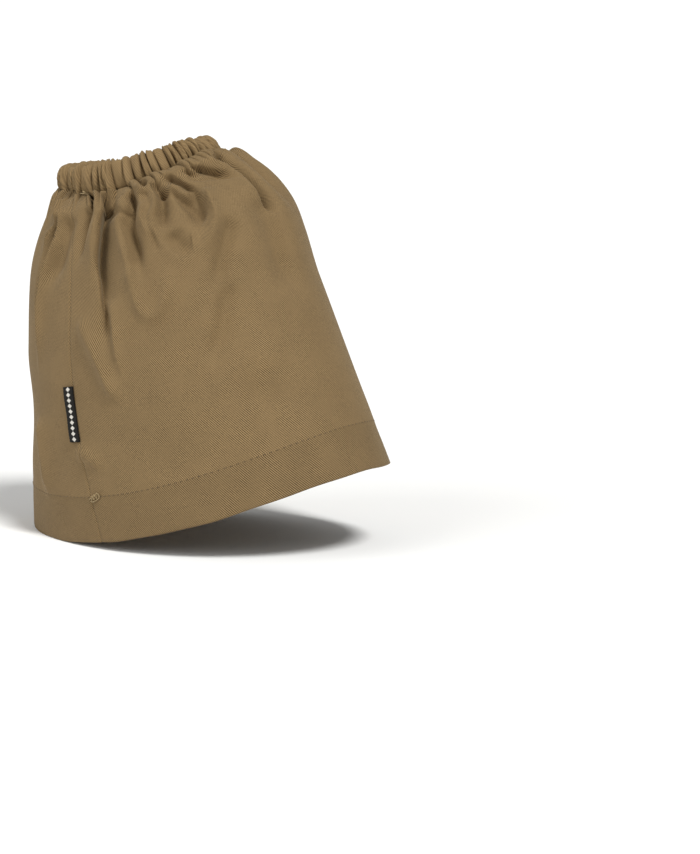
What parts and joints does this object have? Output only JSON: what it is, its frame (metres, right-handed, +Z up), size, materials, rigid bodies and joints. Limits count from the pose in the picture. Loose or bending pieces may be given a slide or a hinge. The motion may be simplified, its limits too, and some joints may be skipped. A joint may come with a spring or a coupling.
{
  "type": "boot cover",
  "caption": "Flared twill sleeve with a gathered elastic top and a stitched hem, worn over the ankle of a work boot to keep grit out.",
  "frame": {"origin": "centre of the elastic's grip on the ankle, in the middle of the top casing", "axes": "+X towards the toe, +Y towards the inner side of the leg, away from the seam, +Z up the leg"},
  "size_m": [0.167, 0.108, 0.1634],
  "materials": {
    "twill": "khaki polyester-cotton twill, matt, fine diagonal ribs",
    "hem_twill": "the same twill, two layers pressed flat with one stitched row",
    "elastic": "off-white braided elastic, hidden in the casing",
    "label": "black woven satin tape"
  },
  "bodies": {
    "root": {"body_panel": "twill", "top_casing": "twill", "hem_band": "hem_twill", "elastic_band": "elastic", "side_label": "label"}
  },
  "joints": []
}
